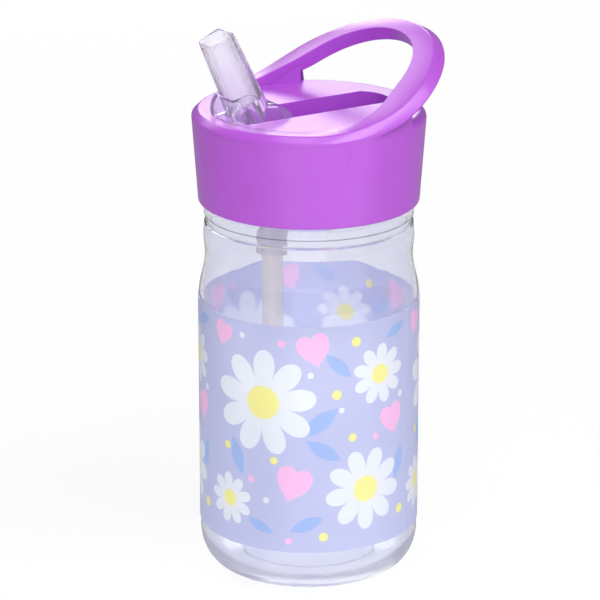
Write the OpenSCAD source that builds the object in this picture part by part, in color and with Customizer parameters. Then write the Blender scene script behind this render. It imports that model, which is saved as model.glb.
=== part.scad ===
// Clear kids water bottle with a printed wrap, a screw lid with a carry loop and a flip-up straw spout.
// Millimetres. The bottle's axis is Z, it stands on z = 0, and the drinking side is the front, -Y.

/* [Bottle] */
// Outside diameter of the straight body
body_d = 66.6; // [62:0.2:72]
// Wall of the body
wall_t = 1.6; // [1.2:0.1:2]
// Height at which the shoulder leaves the straight body
body_h = 85.8; // [80:0.2:100]
// Width of the rounded corner at the base
corner_w = 7.6; // [6:0.2:9]
// Height of the rounded corner at the base
corner_h = 11.2; // [9:0.2:13]
// Width of the flat ring that the bottle stands on
foot_w = 5.4; // [4:0.2:7]
// Rise of the hollow under the base
push_up = 4.6; // [3:0.2:6]
// Thickness of the base
floor_t = 2.8; // [2.2:0.1:3.4]
// Outside diameter of the waist
waist_d = 62.7; // [61:0.1:64]
// Height of the slope from the body to the waist
shoulder_h = 13; // [10:0.5:16]
// Height of the straight waist
waist_h = 2.4; // [1:0.2:4]
// Outside diameter of the bead above the waist
bead_d = 63.7; // [63:0.1:64.6]
// Height of each flank of the bead
bead_h = 3.4; // [3:0.1:4.5]
// Outside diameter of the groove above the bead
groove_d = 62.1; // [61:0.1:62.6]
// Height of the groove
groove_h = 2.2; // [1.6:0.1:3]
// Outside diameter of the ring that carries the neck
ring_d = 62.8; // [62:0.1:63.2]
// Height of that ring
ring_h = 3.7; // [2.8:0.1:4.2]
// Outside diameter of the neck
neck_d = 58; // [57:0.2:58.4]
// Wall of the neck
neck_wall = 2.2; // [1.8:0.1:2.6]
// Height of the neck above its ring
neck_h = 14; // [13.6:0.1:15]

/* [Screw thread] */
// Number of thread starts
thread_starts = 2; // [1:1:3]
// Rise in one turn
thread_lead = 8; // [7.4:0.1:9]
// Height of the bottle's thread ridge above the neck
thread_depth = 1.45; // [1.2:0.05:1.6]
// Width of a ridge at its crest
ridge_crest = 0.8; // [0.6:0.05:1]
// Width of a ridge at its root
ridge_root = 1.6; // [1.4:0.05:1.8]
// Radial gap between a ridge's crest and the wall that it faces
thread_gap = 0.9; // [0.7:0.05:1]
// Angle of each stretch of ridge
ridge_arc = 33; // [28:1:34]
// Angle from one stretch of ridge to the next
ridge_step = 36; // [36:1:40]
// Stretches in each start on the bottle
bottle_stretches = 8; // [6:1:9]
// Stretches in each start in the lid
lid_stretches = 5; // [4:1:6]
// Height of the lowest ridge on the bottle above the neck's ring
thread_low = 3.4; // [3:0.1:4]

/* [Printed wrap] */
// Thickness of the film
wrap_t = 0.25; // [0.15:0.05:0.4]
// Height of the film's lower edge
wrap_low = 14.1; // [13.4:0.1:20]
// Height of the film
wrap_h = 71.4; // [50:0.2:71.6]
// Width of the butt seam
wrap_seam = 0.5; // [0.3:0.1:1]
// Direction of the seam, from the right-hand side towards the back
seam_angle = 28; // [0:1:90]
// Gap between the film and the body
wrap_gap = 0.02; // [0.01:0.01:0.05]

/* [Lid] */
// Diameter at the rim
lid_d = 70; // [69:0.2:74]
// Diameter at the lower edge
lid_low_d = 66.5; // [66:0.1:69]
// Height from the lower edge to the deck
lid_h = 28.2; // [27.8:0.1:29.4]
// Gap between the lid's lower edge and the bottle's ring
lid_gap = 1.3; // [1:0.1:1.6]
// Rounding of the lower edge
lid_round = 0.8; // [0.4:0.1:1]
// Width of the slanted rim round the deck
rim_w = 2; // [1.4:0.1:2.6]
// Height of that rim
rim_h = 1.8; // [1.2:0.1:2.4]
// Thickness of the deck and of the slot's walls
deck_t = 2; // [1.6:0.1:2.2]
// Thickness of the gasket under the lid
gasket_t = 1.5; // [1.2:0.1:1.8]
// Gap between the gasket and each face that it seals
gasket_gap = 0.05; // [0.02:0.01:0.1]
// Width of the hanging ring above the gasket, past the neck's wall on each side
seat_over = 0.2; // [0.1:0.05:0.3]

/* [Carry loop] */
// Slope of the loop
loop_tilt = 30.7; // [26:0.1:34]
// Thickness of the loop
loop_t = 3.3; // [2.8:0.1:4.2]
// Diameter of the loop's upper outside edge
loop_d = 68; // [66:0.2:70]
// Widening of the loop from its upper to its lower outside edge
loop_flare = 2.2; // [1:0.1:3]
// Distance up the slope to the middle of the loop
loop_shift = 7.7; // [6:0.1:10]
// Diameter of the finger hole at its front
hole_front_d = 56.6; // [52:0.2:58]
// Diameter of the finger hole at its back
hole_back_d = 48.4; // [44:0.2:50]
// Distance up the slope to the middle of the hole's back part
hole_shift = 12; // [10:0.1:14]
// Distance behind the axis at which the loop's top leaves the deck
loop_start = 0.6; // [-2:0.1:3]
// Radius of the hollow curve in which the loop's top leaves the deck
loop_sweep = 60; // [40:1:70]
// Distance behind the axis at which the loop's webs end, at their inner edge
web_y = 11.6; // [8:0.2:14]
// Angle of the webs' ends to the side
web_angle = 35; // [25:1:50]
// Depth by which that hollow curve starts under the deck
root_sink = 0.04; // [0.02:0.01:0.1]
// Distance by which that curve's foot stays behind the finger hole's edge
root_in = 0.4; // [0.3:0.05:0.8]
// Distance by which the webs stay inside the rim's upper edge
web_in = 0.5; // [0.3:0.05:1]
// Distance by which the loop's foot stays inside the rim's lower edge
loop_in = 0.06; // [0.04:0.01:0.1]

/* [Spout] */
// Distance of the drum's axis in front of the bottle's axis
drum_y = 17.5; // [16.5:0.1:18]
// Depth of the drum's axis under the deck
drum_drop = 5.4; // [5:0.1:5.8]
// Diameter of the drum
drum_d = 19.6; // [18.8:0.1:20]
// Width of the drum
drum_w = 14; // [12.4:0.1:14.4]
// Gap between the drum and the slot on each side
drum_side_gap = 0.5; // [0.4:0.05:0.8]
// Gap between the drum and its socket
drum_gap = 0.35; // [0.3:0.05:0.5]
// Diameter of the trunnions
trunnion_d = 5; // [4:0.1:6]
// Radial clearance of the trunnions in their holes
trunnion_clear = 0.05; // [0.02:0.01:0.09]
// Length of each trunnion past the drum
trunnion_len = 2; // [1.6:0.1:2.3]
// Forward lean of the raised spout
spout_lean = 25.2; // [20:0.1:28]
// Length of the spout from the drum's axis to its tip
arm_len = 34; // [30:0.1:36]
// Width of the spout at the drum
arm_w = 13.6; // [11:0.1:13.8]
// Width of the spout at its tip
tip_w = 9; // [8.6:0.1:11]
// Depth of the spout at the drum
arm_d = 10.5; // [9.6:0.1:10.6]
// Depth of the spout at its tip
tip_d = 8.6; // [8.2:0.1:9.4]
// Width across the spout's cut corners at the drum, at 45 degrees
arm_diag = 13.9; // [11:0.1:14.4]
// Width across the spout's cut corners at its tip
tip_diag = 11.1; // [10.2:0.1:11.4]
// Bore through the drum
bore_d = 5.2; // [4.6:0.1:5.6]
// Wider bore of the spout, open at its tip
mouth_d = 6.8; // [6:0.1:7]
// Distance of that bore's floor from the drum's axis
mouth_low = 11.5; // [10.6:0.1:14]
// Diameter of the rounded foot in front of the spout
foot_d = 11.6; // [10:0.2:12]
// Width of that foot
foot_len = 13; // [11:0.1:14]
// Distance of the foot's axis in front of the drum's axis
foot_y = 7.2; // [6:0.1:8]
// Height of the foot's axis above the drum's axis
foot_z = 8; // [7:0.1:9]
// Gap between the foot and the deck, where the raised spout stops
stop_gap = 0.3; // [0.2:0.05:0.5]
// Gap under the folded spout in its slot
fold_gap = 0.8; // [0.7:0.1:1.2]
// Distance behind the bottle's axis at which the slot ends
slot_end = 26.7; // [24:0.1:27]
// Radius of the slot's curved end
slot_round = 9.8; // [9:0.1:12]

/* [Straw] */
// Distance of the straw in front of the bottle's axis
straw_y = 12.8; // [12.2:0.1:13.6]
// Outside diameter of the straw and of the lid's spigot
straw_d = 6.4; // [6:0.1:7]
// Bore of the straw and of the lid's spigot
straw_bore = 4.4; // [4:0.1:4.8]
// Height of the straw's lowest point above the inside of the base
straw_foot = 1.6; // [1:0.1:4]
// Slant of the straw's lower end
straw_slant = 30; // [20:1:45]
// Outside diameter of the soft sleeve that joins straw and spigot
sleeve_d = 9; // [8.4:0.1:10]
// Gap between the sleeve and what it grips
sleeve_gap = 0.05; // [0.02:0.01:0.1]
// Length of straw held in the sleeve
sleeve_on_straw = 9; // [6:0.2:11]
// Length of spigot held in the sleeve
sleeve_on_spigot = 9; // [6:0.2:11]
// Space between the straw's top and the spigot
straw_space = 0.6; // [0.3:0.1:1.5]
// Height of the spigot's end above the bottle's neck ring
spigot_low = -2; // [-4:0.2:0]

/* [Seal and vent] */
// Outside diameter of the seal under the drum
seal_d = 8.4; // [7.8:0.1:9]
// Depth of the seal's pocket under the drum
seal_h = 3.4; // [3:0.1:4]
// Gap between the seal and its pocket
seal_gap = 0.05; // [0.02:0.01:0.1]
// Gap between the seal and the turning drum
seal_run = 0.15; // [0.1:0.05:0.25]
// Wall of the boss round the pocket and floor under it
boss_wall = 2; // [1.6:0.1:2.4]
// Distance of the vent valve behind the bottle's axis
vent_y = 8; // [4:0.2:12]
// Diameter of the vent valve's stem
vent_d = 3; // [2.4:0.1:3.6]
// Diameter of the vent valve's flange and beak
vent_flange_d = 6.4; // [5.6:0.1:7]
// Height of the vent valve's head above the slot's floor
vent_head = 0.4; // [0.3:0.05:0.5]
// Height of the vent valve's beak
vent_beak = 4; // [3:0.1:5]

/* [Hidden] */
$fn = 96;
CURVE_STEPS = 10;
BIG = 200;
CUT = 1;

body_r = body_d / 2;
waist_r = waist_d / 2;
bead_r = bead_d / 2;
groove_r = groove_d / 2;
ring_r = ring_d / 2;
neck_r = neck_d / 2;
neck_in_r = neck_r - neck_wall;
foot_out_r = body_r - corner_w;
foot_in_r = foot_out_r - foot_w;
waist_z = body_h + shoulder_h;
bead_z = waist_z + waist_h + bead_h;
groove_z = bead_z + bead_h;
ring_z = groove_z + groove_h;
ring_top = ring_z + ring_h;
neck_top = ring_top + neck_h;

lid_low = ring_top + lid_gap;
deck_z = lid_low + lid_h;
rim_z = deck_z - rim_h;
lid_r = lid_d / 2;
thread_crest_r = neck_r + thread_depth;
skirt_in_r = thread_crest_r + thread_gap;
lid_crest_r = neck_r + thread_gap;
seat_z = neck_top + gasket_t + 2 * gasket_gap;
seat_in_r = neck_in_r - seat_over;
seat_out_r = neck_r + seat_over;
plug_r = neck_in_r - thread_gap;

drum_z = deck_z - drum_drop;
drum_r = drum_d / 2;
socket_r = drum_r + drum_gap;
slot_w = drum_w + 2 * drum_side_gap;
slot_floor = drum_z - arm_d / 2 - fold_gap;
trough_w = slot_w + 2 * deck_t;

sleeve_bore = straw_d + 2 * sleeve_gap;
spigot_z = ring_top + spigot_low;
straw_top = spigot_z - straw_space;
straw_low = push_up + floor_t + straw_foot;
seal_z = drum_z - sqrt(pow(drum_r, 2) - pow(drum_y - straw_y, 2)) - seal_h;
boss_r = seal_d / 2 + seal_gap + boss_wall;
vent_stem = deck_t + 2 * sleeve_gap;

// Points of a smooth S-curve from a to b, each [radius, height]
function ease(a, b) = [
    for (i = [0 : CURVE_STEPS])
        let (t = i / CURVE_STEPS)
        [a[0] + (b[0] - a[0]) * (1 - cos(180 * t)) / 2, a[1] + (b[1] - a[1]) * t]
];

// Points of a quarter ellipse that turns from the base up into the wall
function corner(r, z, w, h) = [
    for (i = [0 : CURVE_STEPS])
        let (a = 90 * i / CURVE_STEPS)
        [r - w + w * sin(a), z + h - h * cos(a)]
];

// Outside of the bottle, from the middle of the base to the neck's rim
function bottle_outside() = concat(
    ease([0, push_up], [foot_in_r, 0]),
    corner(body_r, 0, corner_w, corner_h),
    ease([body_r, body_h], [waist_r, waist_z]),
    ease([waist_r, waist_z + waist_h], [bead_r, bead_z]),
    ease([bead_r, bead_z], [groove_r, groove_z]),
    [[groove_r, ring_z], [ring_r, ring_z], [ring_r, ring_top], [neck_r, ring_top], [neck_r, neck_top]]
);

// Inside of the bottle, from the neck's rim down to the middle of the base
function bottle_inside() = concat(
    [[neck_in_r, neck_top]],
    ease([neck_in_r, ring_top], [bead_r - wall_t, bead_z]),
    ease([bead_r - wall_t, bead_z], [waist_r - wall_t, waist_z + waist_h]),
    ease([waist_r - wall_t, waist_z], [body_r - wall_t, body_h]),
    [for (i = [CURVE_STEPS : -1 : 0]) corner(body_r - wall_t, floor_t, corner_w, corner_h - floor_t)[i]],
    ease([foot_in_r, floor_t], [0, push_up + floor_t])
);

// One ridge of the screw thread as short stretches, each tilted to the helix's slope
module ridges(root_r, crest_r, low_z, stretches) {
    slope = atan(thread_lead / (360 / 180 * PI * neck_r));
    for (start = [0 : thread_starts - 1])
        for (i = [0 : stretches - 1]) {
            turn = i * ridge_step;
            rotate(turn + start * 360 / thread_starts)
                translate([0, 0, low_z + thread_lead * turn / 360])
                    rotate([slope, 0, 0])
                        rotate(-ridge_arc / 2)
                            rotate_extrude(angle = ridge_arc)
                                polygon([
                                    [root_r, -ridge_root / 2],
                                    [crest_r, -ridge_crest / 2],
                                    [crest_r, ridge_crest / 2],
                                    [root_r, ridge_root / 2]
                                ]);
        }
}

module bottle_body() {
    color([0.86, 0.89, 0.96, 0.5]) {
        rotate_extrude() polygon(concat(bottle_outside(), bottle_inside()));
        ridges(neck_r - CUT, thread_crest_r, ring_top + thread_low, bottle_stretches);
    }
}

module printed_wrap() {
    film_r = body_r + wrap_gap;
    color([0.79, 0.81, 0.96])
        translate([0, 0, wrap_low])
            difference() {
                cylinder(h = wrap_h, r = film_r + wrap_t);
                translate([0, 0, -CUT]) cylinder(h = wrap_h + 2 * CUT, r = film_r);
                rotate(seam_angle)
                    translate([0, -wrap_seam / 2, -CUT])
                        cube([body_d, wrap_seam, wrap_h + 2 * CUT]);
            }
}

// Turned shell of the lid: skirt, deck and the ring that hangs down on to the gasket
module lid_shell() {
    low_r = lid_low_d / 2;
    rotate_extrude() {
        polygon([
            [0, deck_z - deck_t],
            [skirt_in_r, deck_z - deck_t],
            [skirt_in_r, lid_low],
            [low_r - lid_round, lid_low],
            [low_r, lid_low + lid_round],
            [lid_r, rim_z],
            [lid_r - rim_w, deck_z],
            [0, deck_z]
        ]);
        translate([seat_in_r, seat_z]) square([seat_out_r - seat_in_r, deck_z - deck_t / 2 - seat_z]);
    }
}

// Plan of the loop's finger hole, in the loop's own slope
module finger_hole() {
    front_r = hole_front_d / 2;
    back_r = hole_back_d / 2;
    lean = asin((front_r - back_r) / hole_shift);
    circle(r = front_r);
    translate([0, hole_shift]) circle(r = back_r);
    polygon([
        [front_r * cos(lean), front_r * sin(lean)],
        [back_r * cos(lean), hole_shift + back_r * sin(lean)],
        [-back_r * cos(lean), hole_shift + back_r * sin(lean)],
        [-front_r * cos(lean), front_r * sin(lean)]
    ]);
}

// Places a piece in the slope of the loop, with its top at z = 0
module in_slope() {
    translate([0, loop_start, deck_z]) rotate([loop_tilt, 0, 0]) children();
}

// Space in which the loop grows out of the rim
module loop_limit() {
    translate([0, 0, rim_z]) cylinder(h = loop_d, r1 = lid_r - loop_in, r2 = lid_r + loop_d);
}

// Carry loop: a slanted ring, with a web under each side down to the deck
module carry_loop() {
    intersection() {
        in_slope()
            difference() {
                translate([0, loop_shift, -loop_t])
                    cylinder(h = loop_t, r1 = loop_d / 2 + loop_flare, r2 = loop_d / 2);
                translate([0, 0, -loop_t - CUT]) linear_extrude(loop_t + 2 * CUT) finger_hole();
            }
        loop_limit();
    }
    intersection() {
        in_slope()
            translate([0, 0, -loop_d])
                difference() {
                    translate([0, loop_shift, 0]) cylinder(h = loop_d, r = loop_d / 2);
                    translate([0, 0, -CUT]) linear_extrude(loop_d + 2 * CUT) finger_hole();
                }
        translate([0, 0, deck_z - deck_t / 2])
            linear_extrude(loop_d)
                intersection() {
                    circle(r = lid_r - rim_w - web_in);
                    for (side = [-1, 1])
                        polygon([
                            [0, web_y - hole_back_d / 2 * tan(web_angle)],
                            [side * BIG, web_y + (BIG - hole_back_d / 2) * tan(web_angle)],
                            [side * BIG, -BIG],
                            [0, -BIG]
                        ]);
                }
    }
    loop_roots();
}

// Hollow curves that lead from the deck up on to the loop's top, with a band that turns from the rim's to the loop's
module loop_roots() {
    reach = loop_sweep * tan(loop_tilt / 2);
    turn = loop_tilt / 2;
    mid_z = loop_sweep * (1 - cos(turn));
    band_x = lid_r - rim_w;
    intersection() {
        translate([-BIG / 2, loop_start, deck_z])
            rotate([90, 0, 90])
                linear_extrude(BIG)
                    difference() {
                        polygon([
                            [-reach, 0], [-reach, -deck_t / 2], [reach, -deck_t / 2],
                            [reach * cos(loop_tilt), reach * sin(loop_tilt)]
                        ]);
                        translate([-reach, loop_sweep - root_sink]) circle(r = loop_sweep, $fn = 4 * $fn);
                    }
        translate([0, loop_start - reach + loop_sweep * sin(turn), deck_z + mid_z])
            rotate([turn, 0, 0])
                difference() {
                    translate([0, 0, -loop_d / 2])
                        cylinder(h = loop_d, r1 = band_x + loop_d / 2 * loop_flare / loop_t,
                                 r2 = band_x - loop_d / 2 * loop_flare / loop_t);
                    translate([0, 0, -loop_d]) cylinder(h = 2 * loop_d, r = hole_front_d / 2 + root_in);
                }
        loop_limit();
    }
}

// Slot and drum socket, grown by a wall; the lid's own cut has no wall
module slot_space(wall, top) {
    end_r = slot_w / 2 + wall;
    floor_z = slot_floor - wall;
    translate([-end_r, -drum_y, floor_z])
        cube([2 * end_r, drum_y + slot_end - slot_round, top - floor_z]);
    intersection() {
        translate([-end_r, slot_end - slot_round, floor_z]) cube([2 * end_r, BIG, top - floor_z]);
        translate([0, slot_end - slot_round, floor_z]) cylinder(h = top - floor_z, r = slot_round + wall);
    }
    translate([-end_r, -drum_y, drum_z])
        rotate([0, 90, 0]) cylinder(h = 2 * end_r, r = socket_r + wall);
}

// Walls of the slot, the socket and the straw's spigot, under the deck
module lid_inside() {
    intersection() {
        union() {
            slot_space(deck_t, deck_z - deck_t / 2);
            translate([0, -straw_y, seal_z - boss_wall])
                cylinder(h = drum_z - seal_z, r = boss_r);
        }
        union() {
            translate([0, 0, seat_z]) cylinder(h = deck_z - deck_t / 2 - seat_z, r = seat_out_r);
            translate([0, 0, lid_low]) cylinder(h = deck_z - lid_low - deck_t, r = plug_r);
        }
    }
    translate([0, -straw_y, spigot_z]) cylinder(h = seal_z - spigot_z, r = straw_d / 2);
}

module lid() {
    color([0.75, 0.42, 0.86])
        difference() {
            union() {
                lid_shell();
                lid_inside();
                carry_loop();
            }
            slot_space(0, deck_z + CUT);
            translate([-trough_w / 2 - CUT, -drum_y, drum_z])
                rotate([0, 90, 0])
                    cylinder(h = trough_w + 2 * CUT, r = trunnion_d / 2 + trunnion_clear);
            translate([0, -straw_y, seal_z]) cylinder(h = drum_z - seal_z, r = seal_d / 2 + seal_gap);
            translate([0, -straw_y, spigot_z - CUT])
                cylinder(h = drum_z - spigot_z, r = straw_bore / 2);
            translate([0, vent_y, slot_floor - deck_t - CUT])
                cylinder(h = deck_t + 2 * CUT, r = vent_d / 2 + sleeve_gap);
        }
    color([0.75, 0.42, 0.86])
        ridges(skirt_in_r + thread_gap / 2, lid_crest_r,
               ring_top + thread_low + thread_lead / thread_starts / 2, lid_stretches);
}

module lid_gasket() {
    color([0.93, 0.93, 0.95])
        translate([0, 0, neck_top + gasket_gap])
            difference() {
                cylinder(h = gasket_t, r = neck_r);
                translate([0, 0, -CUT]) cylinder(h = gasket_t + 2 * CUT, r = neck_in_r);
            }
}

// Outline that narrows from the drum to the spout's tip
module taper(low, high) {
    polygon([[-low / 2, 0], [low / 2, 0], [high / 2, arm_len], [-high / 2, arm_len]]);
}

// Spout's arm along +Z from the drum's axis
module arm() {
    intersection() {
        rotate([90, 0, 0]) translate([0, 0, -arm_w]) linear_extrude(2 * arm_w) taper(arm_w, tip_w);
        rotate([90, 0, 90]) translate([0, 0, -arm_w]) linear_extrude(2 * arm_w) taper(arm_d, tip_d);
        for (turn = [45, -45])
            rotate(turn) rotate([90, 0, 0]) translate([0, 0, -arm_w]) linear_extrude(2 * arm_w) taper(arm_diag, tip_diag);
    }
}

module spout() {
    color([0.88, 0.87, 0.97, 0.5])
        translate([0, -drum_y, drum_z])
            difference() {
                union() {
                    rotate([0, 90, 0]) cylinder(h = drum_w, r = drum_r, center = true);
                    rotate([0, 90, 0])
                        cylinder(h = drum_w + 2 * trunnion_len, r = trunnion_d / 2, center = true);
                    rotate([spout_lean, 0, 0]) arm();
                    intersection() {
                        translate([0, -foot_y, foot_z])
                            rotate([0, 90, 0]) cylinder(h = foot_len, r = foot_d / 2, center = true);
                        translate([-BIG / 2, -BIG, drum_drop + stop_gap]) cube([BIG, BIG, BIG]);
                    }
                }
                rotate([spout_lean, 0, 0]) {
                    translate([0, 0, -drum_d]) cylinder(h = drum_d + arm_len, r = bore_d / 2);
                    translate([0, 0, mouth_low]) cylinder(h = arm_len, r = mouth_d / 2);
                }
            }
}

module spout_seal() {
    color([0.93, 0.93, 0.95])
        difference() {
            translate([0, -straw_y, seal_z]) cylinder(h = slot_floor - seal_z, r = seal_d / 2);
            translate([0, -straw_y, seal_z - CUT]) cylinder(h = BIG, r = straw_bore / 2);
            translate([0, -drum_y, drum_z])
                rotate([0, 90, 0]) cylinder(h = drum_w, r = drum_r + seal_run, center = true);
        }
}

module straw_sleeve() {
    low = straw_top - sleeve_on_straw;
    color([0.9, 0.9, 0.95])
        translate([0, -straw_y, low])
            difference() {
                cylinder(h = sleeve_on_straw + straw_space + sleeve_on_spigot, r = sleeve_d / 2);
                translate([0, 0, -CUT]) cylinder(h = BIG, r = sleeve_bore / 2);
            }
}

module straw() {
    color([0.92, 0.92, 0.97])
        difference() {
            translate([0, -straw_y, straw_low]) cylinder(h = straw_top - straw_low, r = straw_d / 2);
            translate([0, -straw_y, straw_low - CUT]) cylinder(h = BIG, r = straw_bore / 2);
            translate([0, -straw_y - straw_d / 2, straw_low])
                rotate([straw_slant, 0, 0])
                    translate([-straw_d, -straw_d, -straw_d]) cube([2 * straw_d, 4 * straw_d, straw_d]);
        }
}

// Air valve: a head in the slot, a stem through its floor and a slit beak under it
module vent_valve() {
    flange_r = vent_flange_d / 2;
    under = slot_floor - deck_t - sleeve_gap;
    color([0.93, 0.93, 0.95])
        translate([0, vent_y, 0]) {
            translate([0, 0, slot_floor + sleeve_gap]) cylinder(h = vent_head, r = vent_d / 2 + vent_head);
            translate([0, 0, under]) cylinder(h = vent_stem, r = vent_d / 2);
            translate([0, 0, under - CUT]) cylinder(h = CUT, r = flange_r);
            translate([0, 0, under - CUT - vent_beak])
                cylinder(h = vent_beak, r1 = vent_d / 2, r2 = flange_r - vent_head);
        }
}

bottle_body();
printed_wrap();
lid();
lid_gasket();
spout();
spout_seal();
straw_sleeve();
straw();
vent_valve();
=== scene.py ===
import math

import bmesh
import bpy
from bpy.props import FloatProperty, FloatVectorProperty, IntProperty, PointerProperty
from mathutils import Matrix, Vector


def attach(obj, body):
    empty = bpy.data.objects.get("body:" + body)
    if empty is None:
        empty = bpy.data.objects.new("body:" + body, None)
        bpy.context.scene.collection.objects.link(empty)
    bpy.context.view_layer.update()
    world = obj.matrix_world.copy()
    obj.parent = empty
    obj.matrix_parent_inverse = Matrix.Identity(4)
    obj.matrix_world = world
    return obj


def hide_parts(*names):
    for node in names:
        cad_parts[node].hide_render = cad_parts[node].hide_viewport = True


bl_info = {
    "name": "Kids Water Bottle",
    "version": (1, 0, 0),
    "blender": (4, 5, 0),
    "location": "View3D > Sidebar > Bottle",
    "description": "Dresses a packed drinking bottle in clear, moulded and printed finishes",
    "category": "Object",
}

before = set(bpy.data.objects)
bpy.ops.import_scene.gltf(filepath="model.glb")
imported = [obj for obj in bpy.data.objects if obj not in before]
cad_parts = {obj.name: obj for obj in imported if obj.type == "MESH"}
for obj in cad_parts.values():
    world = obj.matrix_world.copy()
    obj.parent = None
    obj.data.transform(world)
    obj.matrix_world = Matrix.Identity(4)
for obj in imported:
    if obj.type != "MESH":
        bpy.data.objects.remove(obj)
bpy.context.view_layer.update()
MM = 0.001

# Bottle's profile in millimetres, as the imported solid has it
BODY_R, WALL = 33.3, 1.2
CORNER_W, CORNER_H = 7.6, 11.2
FOOT_W, PUSH_UP, FLOOR_T = 5.4, 4.6, 2.8
SHOULDER_Z, WAIST_Z, WAIST_TOP_Z = 85.8, 98.6, 99.4
WAIST_R, BEAD_R, LEDGE_R, GROOVE_R = 31.35, 31.75, 31.5, 30.95
RING_R, NECK_R, NECK_IN_R = 31.55, 29.0, 26.8
BEAD_Z, LEDGE_Z, GROOVE_Z = 104.6, 108.5, 108.8
RING_Z, RING_TOP, NECK_LOW, NECK_TOP = 111.2, 113.4, 117.4, 127.9
THREAD_LEAD, THREAD_DEPTH, THREAD_Z, THREAD_STARTS = 8.0, 1.45, 117.3, 2
RIDGE_ROOT, RIDGE_CREST, RIDGE_SINK, THREAD_FROM, THREAD_TURN = 1.6, 0.8, 0.4, -16.5, 285.0

# Lid's sizes in millimetres and degrees: its cup, the deck's rim and lip, the loop, its finger hole and its webs
LID_R, LID_LOW_R, LID_LOW, LID_ROUND = 35.0, 33.25, 115.2, 0.8
CORE_R, CUP_IN_R, WALL_R, DECK_Z, RIM_W, RIM_H = 31.6, 31.45, 33.0, 143.4, 2.0, 1.8
BACK_Z, FLUSH, CORE_DEPTH, WALL_LAP = 140.7, 0.02, 20.0, 0.2
RIM_BLEND, LIP_IN, LIP_IN_LOOP, LIP_DROP, LIP_RISE = 0.8, 0.06, 0.2, 1.4, 1.2
LOOP_TILT, LOOP_T, LOOP_R, LOOP_FLARE = math.radians(30.7), 3.3, 34.0, 2.2
LOOP_SHIFT, LOOP_START, LOOP_SWEEP = 7.7, 0.6, 60.0
HOLE_FRONT_R, HOLE_BACK_R, HOLE_SHIFT, RIM_IN_R = 28.3, 24.2, 12.0, 27.6
CROWN, HOLE_DROP = 1.1, 0.5
WEB_FROM, WEB_TO, WEB_R, WEB_INSET, WEB_CUTS = -14.0, 27.0, 34.3, 0.3, 31
WEB_IN_DROP, WEB_OUT_DROP = 1.0, 2.2

# Spout's sizes in millimetres and degrees, about its drum's axis
DRUM_Y, DRUM_Z, DRUM_R, DRUM_W, SPOUT_LEAN = -17.5, 138.0, 10.0, 12.0, math.radians(25.2)
ARM_LEN, ARM_W, TIP_W, ARM_D, TIP_D, ARM_CUT, TIP_CUT = 34.0, 6.8, 4.5, 5.25, 4.3, 9.83, 7.85
BORE_R, BORE_ROUND, MOUTH_R, MOUTH_LOW, MOUTH_ROUND, OVERCUT = 2.6, 0.1, 3.4, 11.5, 1.3, 2.0
MATT_END, MATT_SKIN = 0.1, 0.05
FOOT_R, FOOT_LEN, FOOT_Y, FOOT_Z, FOOT_LOW, FOOT_WALL = 5.8, 13.0, -7.2, 8.0, 5.7, 1.3
TRUNNION_R, TRUNNION_LEN = 2.5, 18.0

# Film's place on the body, in millimetres and degrees
FILM_R, FILM_T, FILM_LOW, SEAM_ANGLE = 33.57, 0.25, 14.1, 28.0

# Print: repeat in millimetres, forms of petals and hearts, and the share of white in the film's inner side: the print's
# # paler back, with painted light that brightens it
REPEAT, PETALS, HEART_DIP, INNER_PALE_AND_PAINTED_LIGHT = 2 * math.pi * FILM_R / 3, 9, 0.72, 0.58
PETAL_FULL, PETAL_LENGTH, PETAL_START = 0.45, 0.6, 0.4

# Each printed motif's ink, height to width and spots (x, y, size, turn)
PRINT = (
    ("leaf", "ink_blue", 0.36, (
        (38.5, 41.5, 7.0, 38), (39.5, 32.5, 6.2, -32), (12.0, 28.5, 6.0, 108), (34.5, 9.0, 5.6, 24),
        (66.0, 24.5, 5.4, 74), (44.0, 59.0, 5.4, 136), (64.5, 67.0, 4.6, 20), (20.0, 7.5, 4.6, -24))),
    ("flower", "ink_white", 1.0, (
        (21.0, 47.0, 16.5, 8), (53.0, 19.0, 13.0, 30), (58.0, 54.5, 9.5, 4), (8.8, 14.0, 8.2, 16))),
    ("dot", "ink_yellow", 1.0, (
        (21.0, 47.0, 5.2, 0), (53.0, 19.0, 4.1, 0), (58.0, 54.5, 3.0, 0), (8.8, 14.0, 2.6, 0))),
    ("heart", "ink_pink", 0.92, (
        (37.0, 63.0, 4.9, 14), (30.0, 20.5, 5.4, -16), (63.4, 38.0, 4.6, 12), (6.0, 65.0, 3.6, -14))),
    ("dot", "ink_yellow", 1.0, (
        (43.5, 50.0, 1.5, 0), (8.0, 31.0, 1.3, 0), (39.5, 5.0, 1.4, 0), (67.0, 9.0, 1.5, 0),
        (48.5, 36.0, 1.3, 0), (49.5, 66.0, 1.5, 0), (24.5, 29.0, 1.2, 0))),
    ("dot", "ink_pink", 1.0, (
        (17.0, 22.0, 1.2, 0), (56.5, 35.0, 1.1, 0), (27.0, 66.0, 1.2, 0), (29.0, 3.5, 1.1, 0))),
    ("dot", "ink_white", 1.0, (
        (35.6, 56.4, 1.0, 0), (45.0, 45.0, 0.9, 0), (67.0, 46.0, 1.1, 0), (22.0, 16.0, 1.0, 0), (14.0, 67.0, 0.9, 0))),
)

# Floor: radius in metres, way to the pool of light painted into its gloss, that pool's edge, levels in gloss off and on
# it,
# # and its glow
SWEEP_R, PAINTED_POOL_WAY, PAINTED_POOL_EDGE = 6, (0.961, -0.276, 0.0), (0.6, 0.74)
SWEEP_GLOSS, PAINTED_POOL_LEVEL, SWEEP_GLOW = 0.25, 1.3, 0.82

# Surround: level of its own light, in gloss and aside through clear plastic, and where it turns white behind
SURROUND_LIGHT, SURROUND_GLOSS, SURROUND_ASIDE, WHITE_EDGE = 0.09, 0.2, 0.22, (0.2, 0.92)

# Heights between which the foot's haze clears, with its roughness and haze below them
FOOT_CLOUD, FOOT_ROUGHNESS, FOOT_HAZE = (6.0, 15.0), 0.14, 0.2
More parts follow.
